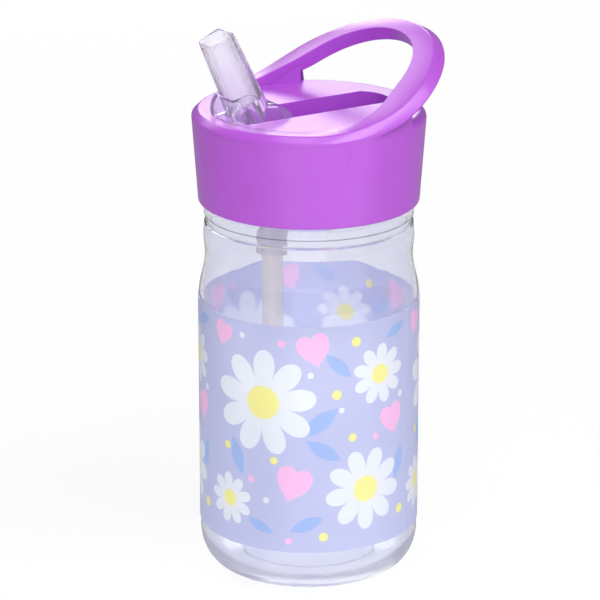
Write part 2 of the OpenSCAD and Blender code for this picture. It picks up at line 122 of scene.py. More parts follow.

# Dark lines painted on the neck's ring and groove as painted shade, for the dark refraction at those edges: height,
# half width and depth of their tone
PAINTED_SHADE_LINE_TONE = (0.05, 0.05, 0.1, 1)
PAINTED_SHADE_LINES = ((RING_Z, 0.13, 0.8), (GROOVE_Z, 0.1, 0.5))

# Colour mixes' sockets and the white of a clear surface
MIX_A, MIX_B, MIXED = 6, 7, 2
WHITE = (1, 1, 1, 1)

# Distances at which points are merged: in metres on a piece and a CAD node, in steps on a plain ring
MERGE, CAD_MERGE, RING_MERGE = 1e-7, 2e-6, 1e-4

# Softboxes: the point they face, those that no gloss mirrors, and each one's place and size in metres and its watts
AIM = (0, 0, 0.09)
UNMIRRORED = ("front_softbox", "left_softbox")
SOFTBOXES = (
    ("front_softbox", (1.223, -0.764, 0.503), (1.0, 1.1), 7.7),
    ("left_softbox", (0.563, -1.327, 0.503), (0.9, 1.1), 3.1),
    ("front_high_softbox", (0.864, -0.349, 1.201), (0.8, 0.6), 3.3),
    ("right_high_softbox", (0.769, 0.178, 1.306), (0.5, 0.5), 6.0),
    ("right_softbox", (0.758, 0.636, 1.15), (0.5, 0.5), 3.4),
    ("top_softbox", (0.137, -0.211, 1.518), (0.62, 0.62), 4.2),
    ("back_softbox", (-1.14, 0.712, 0.686), (0.7, 0.34), 5.0),
    ("back_left_softbox", (-1.21, -0.05, 1.04), (0.7, 0.7), 5.0),
)


def linear(code):
    """Turns an sRGB hex colour into the linear values that Blender works in."""
    values = [int(code[i:i + 2], 16) / 255 for i in (1, 3, 5)]
    return [v / 12.92 if v <= 0.04045 else ((v + 0.055) / 1.055) ** 2.4 for v in values]


def add(tree, kind, inputs=None, **settings):
    """Adds one shader node, sets its properties, and sets or links its inputs."""
    made = tree.nodes.new(kind)
    for key, value in settings.items():
        setattr(made, key, value)
    for key, value in (inputs or {}).items():
        if isinstance(value, bpy.types.NodeSocket):
            tree.links.new(value, made.inputs[key])
        else:
            made.inputs[key].default_value = value
    return made


def new_material(name):
    """Makes an empty node material and returns it with its tree and output."""
    made = bpy.data.materials.new(name)
    made.use_nodes = True
    made.node_tree.nodes.clear()
    return made, made.node_tree, add(made.node_tree, "ShaderNodeOutputMaterial")


def new_piece(name, bm, body, slot, material, *nodes):
    """Turns a bmesh into a piece that rides on a body and stands for its CAD node."""
    bmesh.ops.remove_doubles(bm, verts=bm.verts, dist=MERGE)
    mesh = bpy.data.meshes.new(name)
    bm.to_mesh(mesh)
    bm.free()
    made = bpy.data.objects.new(name, mesh)
    bpy.context.scene.collection.objects.link(made)
    made.data.materials.append(material)
    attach(made, body)
    if nodes:
        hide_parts(*nodes)
    return made


def dress(node, material):
    """Gives a carried-over CAD node its finish."""
    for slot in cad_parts[node].material_slots:
        slot.material = material


def ease(start, end, steps=18):
    """Points of a smooth S-curve between two points of a profile."""
    points = []
    for i in range(steps + 1):
        t = i / steps
        swing = (1 - math.cos(math.pi * t)) / 2
        points.append((start[0] + (end[0] - start[0]) * swing, start[1] + (end[1] - start[1]) * t))
    return points


def quarter(steps):
    """Angles of the steps of a quarter turn."""
    return [math.pi / 2 * i / steps for i in range(steps + 1)]


def base_corner(radius, low, width, height):
    """Points of the quarter ellipse that turns the base up into the wall."""
    return [(radius - width + width * math.sin(a), low + height - height * math.cos(a)) for a in quarter(18)]


def spin_profile(bm, points, steps):
    """Spins a closed or pole-to-pole profile of millimetre points round Z."""
    verts = [bm.verts.new((r * MM, 0, z * MM)) for r, z in points]
    edges = [bm.edges.new(pair) for pair in zip(verts, verts[1:])]
    bmesh.ops.spin(bm, geom=verts + edges, cent=(0, 0, 0), axis=(0, 0, 1),
                   angle=2 * math.pi, steps=steps, use_merge=True)
    bmesh.ops.remove_doubles(bm, verts=bm.verts, dist=MERGE)


def round_rings(bm, rings, radius, segments):
    """Rounds the sharp circles that lie at given radius and height, in millimetres."""
    def on_ring(v):
        r, z = math.hypot(v.co.x, v.co.y) / MM, v.co.z / MM
        return any(abs(r - a) < 0.01 and abs(z - b) < 0.01 for a, b in rings)
    edges = [e for e in bm.edges
             if all(on_ring(v) for v in e.verts) and abs(e.verts[0].co.z - e.verts[1].co.z) < MERGE]
    bmesh.ops.bevel(bm, geom=edges, offset=radius * MM, offset_type="OFFSET", affect="EDGES",
                    segments=segments, profile=0.5, material=-1, clamp_overlap=True)


def shade(piece, angle):
    """Shades a piece smooth, with sharp edges above an angle in degrees."""
    mesh, limit = piece.data, math.radians(angle)
    if "custom_normal" in mesh.attributes:
        mesh.attributes.remove(mesh.attributes["custom_normal"])
    bm = bmesh.new()
    bm.from_mesh(mesh)
    for face in bm.faces:
        face.smooth = True
    for edge in bm.edges:
        edge.smooth = edge.calc_face_angle(math.pi) < limit
    bm.to_mesh(mesh)
    bm.free()


def spin_strip(bm, count, steps):
    """Spins a closed loop of points into a plain ring, whose points are then placed by number and angle."""
    verts = [bm.verts.new((1, 0, -k)) for k in range(count)]
    edges = [bm.edges.new((verts[k - 1], verts[k])) for k in range(count)]
    bmesh.ops.spin(bm, geom=verts + edges, cent=(0, 0, 0), axis=(0, 0, 1),
                   angle=2 * math.pi, steps=steps, use_merge=True)
    bmesh.ops.remove_doubles(bm, verts=bm.verts, dist=RING_MERGE)


def trimmed(mesh, tool, operation):
    """Cuts one mesh with another and returns the result."""
    body, cutter = (bpy.data.objects.new(n, m) for n, m in (("trim_body", mesh), ("trim_tool", tool)))
    for made in (body, cutter):
        bpy.context.scene.collection.objects.link(made)
    cut = body.modifiers.new("Trim", "BOOLEAN")
    cut.object, cut.operation, cut.solver = cutter, operation, "EXACT"
    result = bpy.data.meshes.new_from_object(body.evaluated_get(bpy.context.evaluated_depsgraph_get()))
    for made in (body, cutter):
        bpy.data.objects.remove(made)
    return result


def to_mesh(name, bm):
    """Writes a bmesh out as a mesh."""
    bmesh.ops.recalc_face_normals(bm, faces=bm.faces)
    mesh = bpy.data.meshes.new(name)
    bm.to_mesh(mesh)
    bm.free()
    return mesh


def cad_copy(node):
    """Copy of a CAD node's mesh, merged into a closed skin."""
    bm = bmesh.new()
    bm.from_mesh(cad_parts[node].data)
    bmesh.ops.remove_doubles(bm, verts=bm.verts, dist=CAD_MERGE)
    return bm


def turned_corner(corner, before, after, radius, steps):
    """Points that round a corner between the ways to the points before and after it."""
    a, b = (before - corner).normalized() * radius, (after - corner).normalized() * radius
    return [corner + a * (1 - t) ** 2 + b * t ** 2 for t in (i / steps for i in range(steps + 1))]


def ellipse_reach(theta, middle, radius):
    """Distance from the axis to the plan of a circle that lies in the loop's slope."""
    deep = radius * math.cos(LOOP_TILT)
    a = (math.cos(theta) / radius) ** 2 + (math.sin(theta) / deep) ** 2
    b = -2 * middle * math.sin(theta) / deep ** 2
    c = (middle / deep) ** 2 - 1
    return (-b + math.sqrt(b * b - 4 * a * c)) / (2 * a)


def loop_top(y):
    """Height and slope of the surface that leads from the deck up over the loop."""
    reach = LOOP_SWEEP * math.tan(LOOP_TILT / 2)
    start, end = LOOP_START - reach, LOOP_START + reach * math.cos(LOOP_TILT)
    if y <= start:
        return DECK_Z, 0.0
    if y >= end:
        return DECK_Z + math.tan(LOOP_TILT) * (y - LOOP_START), LOOP_TILT
    return DECK_Z + LOOP_SWEEP - math.sqrt(LOOP_SWEEP ** 2 - (y - start) ** 2), math.asin((y - start) / LOOP_SWEEP)


def rim_reach(theta):
    """Plan radius of the upper outside edge, from the deck's rim over on to the loop."""
    edge = LID_R - RIM_W
    past = ellipse_reach(theta, LOOP_START + LOOP_SHIFT * math.cos(LOOP_TILT), LOOP_R) - edge
    return edge + (past + math.hypot(past, RIM_BLEND)) / 2


def hole_reach(theta):
    """Plan radius of the finger hole, and of the rim's hidden inner edge in front of it."""
    reach = 0.0
    for i in range(13):
        k = i / 12
        middle = LOOP_START + k * HOLE_SHIFT * math.cos(LOOP_TILT)
        reach = max(reach, ellipse_reach(theta, middle, HOLE_FRONT_R + k * (HOLE_BACK_R - HOLE_FRONT_R)))
    return max(reach, RIM_IN_R) if math.sin(theta) < 0 else reach


def rim_corners(theta):
    """Corners of the ring that is the deck's rim in front and the carry loop behind, in millimetres."""
    def at(angle):
        reach = rim_reach(angle)
        return Vector((reach * math.cos(angle), reach * math.sin(angle), 0))
    outer, along = at(theta), at(theta + 0.01) - at(theta - 0.01)
    outer.z, slope = loop_top(outer.y)
    part = slope / LOOP_TILT
    out = Vector((along.y, -along.x, 0)).normalized()
    out = Vector((out.x, out.y * math.cos(slope), out.y * math.sin(slope)))
    down = Vector((0, math.sin(slope), -math.cos(slope)))
    flare, deep = RIM_W + (LOOP_FLARE - RIM_W) * part, RIM_H + (LOOP_T - RIM_H) * part
    band = outer + out * flare + down * deep
    lip = band + out * (-LIP_IN - LIP_IN_LOOP * part) + down * (LIP_DROP - LIP_RISE * part)
    reach = hole_reach(theta)
    inner = Vector((reach * math.cos(theta), reach * math.sin(theta), 0))
    inner.z, slope = loop_top(inner.y)
    part, down = slope / LOOP_TILT, Vector((0, math.sin(slope), -math.cos(slope)))
    under = inner + down * (RIM_H + (LOOP_T + HOLE_DROP - RIM_H) * part)
    return inner - down * CROWN * part, outer, band, lip, under


def rim_section(theta, rounding):
    """Rounded section of that ring."""
    inner, outer, band, lip, under = rim_corners(theta)
    top = turned_corner(inner, under, outer, rounding, 4) + turned_corner(outer, inner, band, rounding, 5)
    side = turned_corner(band, outer, lip, 0.8 * rounding, 3) + [lip]
    return top + side + turned_corner(under, lip, inner, rounding, 4)


def clear_copolyester(name, colour, cloud_colour, roughness, haze, has_foot=False):
    """Clear copolyester, blow moulded or moulded: see-through gloss, faintly tinted and hazy, with a slow waviness of
    the moulded skin that bends the reflections. A bottle is hazier in its heavy foot, and has fine dark lines of
    painted shade at the neck's ring and groove, where the glass edges show dark in refraction. It lets light through
    to what lies behind it."""
    made, tree, out = new_material(name)
    place = add(tree, "ShaderNodeTexCoord")
    waves = add(tree, "ShaderNodeTexNoise", {
        "Vector": place.outputs["Object"], "Scale": 1 / (14 * MM), "Detail": 1.0})
    bump = add(tree, "ShaderNodeBump", {"Height": waves.outputs["Fac"], "Strength": 0.04, "Distance": 0.4 * MM})
    tint = (*colour, 1)
    if has_foot:
        high = add(tree, "ShaderNodeSeparateXYZ", {"Vector": place.outputs["Object"]}).outputs["Z"]
        foot = {"Value": high, "From Min": FOOT_CLOUD[0] * MM, "From Max": FOOT_CLOUD[1] * MM}
        roughness = add(tree, "ShaderNodeMapRange", {**foot, "To Min": FOOT_ROUGHNESS, "To Max": roughness}).outputs[0]
        haze = add(tree, "ShaderNodeMapRange", {**foot, "To Min": FOOT_HAZE, "To Max": haze}).outputs[0]
        # Painted shade: dark lines mixed into the glass tint at the ring and the groove
        for line_z, half, depth in PAINTED_SHADE_LINES:
            line = add(tree, "ShaderNodeMath", {0: high, 1: line_z * MM, 2: half * MM}, operation="COMPARE").outputs[0]
            dark = add(tree, "ShaderNodeMath", {0: line, 1: depth}, operation="MULTIPLY").outputs[0]
            tint = add(tree, "ShaderNodeMix", {
                0: dark, MIX_A: tint, MIX_B: PAINTED_SHADE_LINE_TONE}, data_type="RGBA").outputs[MIXED]
    glass = add(tree, "ShaderNodeBsdfPrincipled", {
        "Base Color": tint, "Roughness": roughness, "IOR": 1.5,
        "Transmission Weight": 1.0, "Normal": bump.outputs["Normal"]})
    front = add(tree, "ShaderNodeBsdfDiffuse", {"Color": (*cloud_colour, 1)})
    back = add(tree, "ShaderNodeBsdfTranslucent", {"Color": (*cloud_colour, 1)})
    cloud = add(tree, "ShaderNodeMixShader", {"Fac": 0.6, 1: front.outputs["BSDF"], 2: back.outputs["BSDF"]})
    hazy = add(tree, "ShaderNodeMixShader", {"Fac": haze, 1: glass.outputs["BSDF"], 2: cloud.outputs["Shader"]})
    path = add(tree, "ShaderNodeLightPath")
    lit = add(tree, "ShaderNodeMath", {
        0: path.outputs["Is Shadow Ray"], 1: path.outputs["Is Diffuse Ray"]}, operation="MAXIMUM")
    clear = add(tree, "ShaderNodeBsdfTransparent", {"Color": WHITE})
    both = add(tree, "ShaderNodeMixShader", {
        "Fac": lit.outputs[0], 1: hazy.outputs["Shader"], 2: clear.outputs["BSDF"]})
    tree.links.new(both.outputs["Shader"], out.inputs["Surface"])
    return made


def moulded_polypropylene(name, colour):
    """Moulded polypropylene with a polished mould and a satin deck: glossy, a little cloudy under the skin, with faint
    flow marks."""
    made, tree, out = new_material(name)
    place = add(tree, "ShaderNodeTexCoord")
    flow = add(tree, "ShaderNodeTexNoise", {"Vector": place.outputs["Object"], "Scale": 1 / (9 * MM), "Detail": 3.0})
    grain = add(tree, "ShaderNodeTexNoise", {"Vector": place.outputs["Object"], "Scale": 1 / (0.5 * MM), "Detail": 2.0})
    tone = add(tree, "ShaderNodeMapRange", {"Value": flow.outputs["Fac"], "To Min": 0.97, "To Max": 1.03})
    tint = add(tree, "ShaderNodeVectorMath", {0: tuple(colour), "Scale": tone.outputs["Result"]}, operation="SCALE")
    gloss = add(tree, "ShaderNodeMapRange", {"Value": flow.outputs["Fac"], "To Min": 0.23, "To Max": 0.29})
    way = add(tree, "ShaderNodeNewGeometry")
    upward = add(tree, "ShaderNodeSeparateXYZ", {"Vector": way.outputs["True Normal"]}).outputs["Z"]
    rough = add(tree, "ShaderNodeMapRange", {
        "Value": upward, "From Min": 0.98, "From Max": 0.995, "To Min": gloss.outputs["Result"], "To Max": 0.33})
    bump = add(tree, "ShaderNodeBump", {"Height": grain.outputs["Fac"], "Strength": 0.03, "Distance": 0.05 * MM})
    skin = add(tree, "ShaderNodeBsdfPrincipled", {
        "Base Color": tint.outputs["Vector"], "Roughness": rough.outputs["Result"], "IOR": 1.5,
        "Subsurface Weight": 0.12, "Subsurface Radius": (1.0, 0.6, 1.0), "Subsurface Scale": 1.2 * MM,
        "Normal": bump.outputs["Normal"]})
    tree.links.new(skin.outputs["BSDF"], out.inputs["Surface"])
    return made


def motif_mask(tree, page, kind, x, y, wide, tall, turn):
    """Mask of one printed motif, placed on the page in millimetres and degrees."""
    local = add(tree, "ShaderNodeMapping", {
        "Vector": page, "Location": (x, y, 0), "Rotation": (0, 0, math.radians(turn)), "Scale": (wide, tall, 1)},
        vector_type="TEXTURE").outputs[0]
    length = add(tree, "ShaderNodeVectorMath", {0: local}, operation="LENGTH").outputs["Value"]
    if kind == "dot":
        return add(tree, "ShaderNodeMath", {0: length, 1: 1.0}, operation="LESS_THAN").outputs[0]
    part = add(tree, "ShaderNodeSeparateXYZ", {0: local}).outputs
    if kind == "leaf":
        side = add(tree, "ShaderNodeMath", {0: part["Y"]}, operation="ABSOLUTE").outputs[0]
        edge = add(tree, "ShaderNodeMath", {0: part["X"], 1: part["X"], 2: side}, operation="MULTIPLY_ADD").outputs[0]
        return add(tree, "ShaderNodeMath", {0: edge, 1: 1.0}, operation="LESS_THAN").outputs[0]
    if kind == "heart":
        side = add(tree, "ShaderNodeMath", {0: part["X"]}, operation="ABSOLUTE").outputs[0]
        lobe = add(tree, "ShaderNodeMath", {0: side, 1: 0.5}, operation="POWER").outputs[0]
        lift = add(tree, "ShaderNodeMath", {0: lobe, 1: -HEART_DIP, 2: part["Y"]}, operation="MULTIPLY_ADD").outputs[0]
        square = add(tree, "ShaderNodeMath", {0: lift, 1: lift}, operation="MULTIPLY").outputs[0]
        edge = add(tree, "ShaderNodeMath", {0: side, 1: side, 2: square}, operation="MULTIPLY_ADD").outputs[0]
        return add(tree, "ShaderNodeMath", {0: edge, 1: 1.0}, operation="LESS_THAN").outputs[0]
    angle = add(tree, "ShaderNodeMath", {0: part["Y"], 1: part["X"]}, operation="ARCTAN2").outputs[0]
    swing = add(tree, "ShaderNodeMath", {0: angle, 1: PETALS / 2}, operation="MULTIPLY").outputs[0]
    swing = add(tree, "ShaderNodeMath", {0: swing}, operation="COSINE").outputs[0]
    swing = add(tree, "ShaderNodeMath", {0: swing}, operation="ABSOLUTE").outputs[0]
    swing = add(tree, "ShaderNodeMath", {0: swing, 1: PETAL_FULL}, operation="POWER").outputs[0]
    petal = add(tree, "ShaderNodeMath", {
        0: swing, 1: PETAL_LENGTH, 2: PETAL_START}, operation="MULTIPLY_ADD").outputs[0]
    return add(tree, "ShaderNodeMath", {0: length, 1: petal}, operation="LESS_THAN").outputs[0]


def printed_film(name, colours):
    """Printed polypropylene film: flat flowers, hearts, leaves and dots in ink on a milky ground that lets some light
    through, under a glossy skin. Its inner side and the light it lets through are paled towards white: the print's
    paler back, with painted light that brightens that side."""
    made, tree, out = new_material(name)
    place = add(tree, "ShaderNodeTexCoord")
    spot = add(tree, "ShaderNodeSeparateXYZ", {"Vector": place.outputs["Object"]})
    turn = add(tree, "ShaderNodeMath", {0: spot.outputs["Y"], 1: spot.outputs["X"]}, operation="ARCTAN2")
    along = add(tree, "ShaderNodeMath", {
        0: turn.outputs[0], 1: FILM_R, 2: -math.radians(SEAM_ANGLE) * FILM_R}, operation="MULTIPLY_ADD")
    across = add(tree, "ShaderNodeMath", {0: along.outputs[0], 1: REPEAT, 2: 0.0}, operation="WRAP")
    high = add(tree, "ShaderNodeMath", {0: spot.outputs["Z"], 1: 1 / MM, 2: -FILM_LOW}, operation="MULTIPLY_ADD")
    page = add(tree, "ShaderNodeCombineXYZ", {"X": across.outputs[0], "Y": high.outputs[0]}).outputs[0]
    ink = add(tree, "ShaderNodeTexNoise", {"Vector": place.outputs["Object"], "Scale": 1 / (1.5 * MM), "Detail": 2.0})
    tone = add(tree, "ShaderNodeMapRange", {"Value": ink.outputs["Fac"], "To Min": 0.985, "To Max": 1.015})
    tint = add(tree, "ShaderNodeVectorMath", {
        0: tuple(colours.print_ground), "Scale": tone.outputs["Result"]}, operation="SCALE").outputs[0]
    for kind, shade_name, tall, spots in PRINT:
        shade_value = (*getattr(colours, shade_name), 1)
        for x, y, size, turned in spots:
            mask = motif_mask(tree, page, kind, x, y, size, tall * size, turned)
            tint = add(tree, "ShaderNodeMix", {
                0: mask, MIX_A: tint, MIX_B: shade_value}, data_type="RGBA").outputs[MIXED]
    # Painted light, in part: the inner side's colour and the light let through are paled towards white
    back_pale_and_painted_light = add(tree, "ShaderNodeMix", {0: INNER_PALE_AND_PAINTED_LIGHT, MIX_A: tint, MIX_B: WHITE}, data_type="RGBA").outputs[MIXED]
    flat = add(tree, "ShaderNodeCombineXYZ", {"X": spot.outputs["X"], "Y": spot.outputs["Y"]})
    reach = add(tree, "ShaderNodeVectorMath", {0: flat.outputs[0]}, operation="LENGTH").outputs["Value"]
    inside = add(tree, "ShaderNodeMath", {0: reach, 1: (FILM_R - FILM_T / 2) * MM}, operation="LESS_THAN").outputs[0]
    side = add(tree, "ShaderNodeMix", {0: inside, MIX_A: tint, MIX_B: back_pale_and_painted_light}, data_type="RGBA").outputs[MIXED]
    rough = add(tree, "ShaderNodeMapRange", {"Value": inside, "To Min": 0.16, "To Max": 0.6}).outputs["Result"]
    face = add(tree, "ShaderNodeBsdfPrincipled", {"Base Color": side, "Roughness": rough, "IOR": 1.49})
    through = add(tree, "ShaderNodeBsdfTranslucent", {"Color": back_pale_and_painted_light})
    share = add(tree, "ShaderNodeMapRange", {"Value": inside, "To Min": 0.45, "To Max": 0.7}).outputs["Result"]
    both = add(tree, "ShaderNodeMixShader", {"Fac": share, 1: face.outputs["BSDF"], 2: through.outputs["BSDF"]})
    path = add(tree, "ShaderNodeLightPath")
    passed = add(tree, "ShaderNodeMath", {0: path.outputs["Is Shadow Ray"], 1: 0.9}, operation="MULTIPLY")
    clear = add(tree, "ShaderNodeBsdfTransparent", {"Color": back_pale_and_painted_light})
    lit = add(tree, "ShaderNodeMixShader", {
        "Fac": passed.outputs[0], 1: both.outputs["Shader"], 2: clear.outputs["BSDF"]})
    tree.links.new(lit.outputs["Shader"], out.inputs["Surface"])
    return made


def milky_plastic(name, colour, roughness, through, see):
    """Unpigmented polyethylene or silicone: milky, partly seen through, with light passing and a soft gloss."""
    made, tree, out = new_material(name)
    place = add(tree, "ShaderNodeTexCoord")
    cloud = add(tree, "ShaderNodeTexNoise", {"Vector": place.outputs["Object"], "Scale": 1 / (6 * MM), "Detail": 2.0})
    rough = add(tree, "ShaderNodeMapRange", {
        "Value": cloud.outputs["Fac"], "To Min": roughness * 0.85, "To Max": roughness * 1.15})
    skin = add(tree, "ShaderNodeBsdfPrincipled", {
        "Base Color": (*colour, 1), "Roughness": rough.outputs["Result"], "IOR": 1.45})
    glow = add(tree, "ShaderNodeBsdfTranslucent", {"Color": (*colour, 1)})
    both = add(tree, "ShaderNodeMixShader", {"Fac": through, 1: skin.outputs["BSDF"], 2: glow.outputs["BSDF"]})
    clear = add(tree, "ShaderNodeBsdfTransparent", {"Color": WHITE})
    seen = add(tree, "ShaderNodeMixShader", {"Fac": see, 1: both.outputs["Shader"], 2: clear.outputs["BSDF"]})
    tree.links.new(seen.outputs["Shader"], out.inputs["Surface"])
    return made


def studio_white(name, colour):
    """Matt painted sweep: white to the eye and in clear plastic, with the object's soft shadow on it. In gloss it shows
    a painted pool of light that glows above white on one side, and is dim elsewhere."""
    made, tree, out = new_material(name)
    place = add(tree, "ShaderNodeTexCoord")
    paint = add(tree, "ShaderNodeTexNoise", {"Vector": place.outputs["Object"], "Scale": 1 / (40 * MM), "Detail": 2.0})
    tone = add(tree, "ShaderNodeMapRange", {"Value": paint.outputs["Fac"], "To Min": 0.995, "To Max": 1.0})
    tint = add(tree, "ShaderNodeVectorMath", {0: tuple(colour), "Scale": tone.outputs["Result"]}, operation="SCALE")
    flat = add(tree, "ShaderNodeBsdfDiffuse", {"Color": tint.outputs["Vector"]})
    path = add(tree, "ShaderNodeLightPath")
    gloss = add(tree, "ShaderNodeMath", {
        0: path.outputs["Is Glossy Ray"], 1: path.outputs["Is Transmission Ray"]}, operation="SUBTRACT")
    # Painted light: a pool that glows above white on one side of the floor, seen only in gloss
    way = add(tree, "ShaderNodeVectorMath", {0: place.outputs["Object"]}, operation="NORMALIZE")
    ahead = add(tree, "ShaderNodeVectorMath", {0: way.outputs["Vector"], 1: PAINTED_POOL_WAY}, operation="DOT_PRODUCT")
    lit = add(tree, "ShaderNodeMapRange", {
        "Value": ahead.outputs["Value"], "From Min": PAINTED_POOL_EDGE[0], "From Max": PAINTED_POOL_EDGE[1],
        "To Min": SWEEP_GLOSS, "To Max": PAINTED_POOL_LEVEL})
    level = add(tree, "ShaderNodeMapRange", {"Value": gloss.outputs[0], "To Min": 1.0, "To Max": lit.outputs["Result"]})
    glow = add(tree, "ShaderNodeEmission", {"Color": WHITE, "Strength": level.outputs["Result"]})
    seen = add(tree, "ShaderNodeMath", {0: sight(tree), 1: SWEEP_GLOW}, operation="MULTIPLY")
    both = add(tree, "ShaderNodeMixShader", {
        "Fac": seen.outputs[0], 1: flat.outputs["BSDF"], 2: glow.outputs["Emission"]})
    tree.links.new(both.outputs["Shader"], out.inputs["Surface"])
    return made


def sight(tree):
    """One for rays of the camera, of reflections and through clear plastic, else nought."""
    path = add(tree, "ShaderNodeLightPath")
    seen = add(tree, "ShaderNodeMath", {
        0: path.outputs["Is Camera Ray"], 1: path.outputs["Is Glossy Ray"]}, operation="MAXIMUM")
    return add(tree, "ShaderNodeMath", {
        0: seen.outputs[0], 1: path.outputs["Is Transmission Ray"]}, operation="MAXIMUM").outputs[0]


class BottleColours(bpy.types.PropertyGroup):
    clear_tint: FloatVectorProperty(
        name="Clear body", description="Tint of the clear bottle", subtype="COLOR", default=linear("#f4f5fd"))
    clear_haze: FloatVectorProperty(
        name="Haze", description="Colour of the haze in the bottle and its foot", subtype="COLOR",
        default=linear("#dddfee"))
    spout_tint: FloatVectorProperty(
        name="Spout", description="Tint of the clear spout", subtype="COLOR", default=linear("#f5f4fc"))
    lid: FloatVectorProperty(
        name="Lid", description="Pigment of the lid", subtype="COLOR", default=linear("#b658d5"))
    print_ground: FloatVectorProperty(
        name="Print ground", description="Ground colour of the printed film", subtype="COLOR",
        default=linear("#babfe3"))
    ink_white: FloatVectorProperty(
        name="White ink", description="Flowers and small dots of the print", subtype="COLOR", default=linear("#e4e9f0"))
    ink_yellow: FloatVectorProperty(
        name="Yellow ink", description="Flowers' middles and dots of the print", subtype="COLOR",
        default=linear("#f1ec83"))
    ink_pink: FloatVectorProperty(
        name="Pink ink", description="Hearts and dots of the print", subtype="COLOR", default=linear("#f4b9e4"))
    ink_blue: FloatVectorProperty(
        name="Blue ink", description="Leaves of the print", subtype="COLOR", default=linear("#93b4e8"))
    straw: FloatVectorProperty(
        name="Straw", description="Colour of the straw", subtype="COLOR", default=linear("#fdfbf8"))
    silicone: FloatVectorProperty(
        name="Silicone", description="Colour of the soft seals", subtype="COLOR", default=linear("#f4f2fb"))
    floor: FloatVectorProperty(
        name="Floor", description="Colour of the studio floor", subtype="COLOR", default=linear("#fbfbfb"))


class BottleSizes(bpy.types.PropertyGroup):
    turn_steps: IntProperty(
        name="Turn steps", description="Faces round a turned piece", default=256, min=32, max=512)
    edge_round: FloatProperty(
        name="Edge rounding", description="Rounding of the neck's rim", unit="LENGTH", default=0.35 * MM)
    ring_round: FloatProperty(
        name="Ring rounding", description="Rounding of the ring under the lid", unit="LENGTH", default=0.1 * MM)
    spout_round: FloatProperty(
        name="Spout rounding", description="Rounding of the spout's edges", unit="LENGTH", default=0.6 * MM)
    loop_round: FloatProperty(
        name="Loop rounding", description="Rounding of the edges of the rim and the loop", unit="LENGTH",
        default=0.45 * MM)


class BottleStage(bpy.types.PropertyGroup):
    azimuth: FloatProperty(
        name="Azimuth", description="Camera's direction round the bottle", subtype="ANGLE", default=math.radians(58))
    pitch: FloatProperty(
        name="Pitch", description="Camera's downward tilt", subtype="ANGLE", default=math.radians(18.42))
    distance: FloatProperty(
        name="Distance", description="Camera's level distance from the bottle's axis", unit="LENGTH", default=0.95)
    height: FloatProperty(
        name="Height", description="Camera's height above the floor", unit="LENGTH", default=0.3993)
    lens: FloatProperty(
        name="Lens", description="Camera's focal length in millimetres on a 36 mm sensor", default=198.26)
    side: FloatProperty(
        name="Sideways", description="Camera's move to its left", unit="LENGTH", default=0.00267)


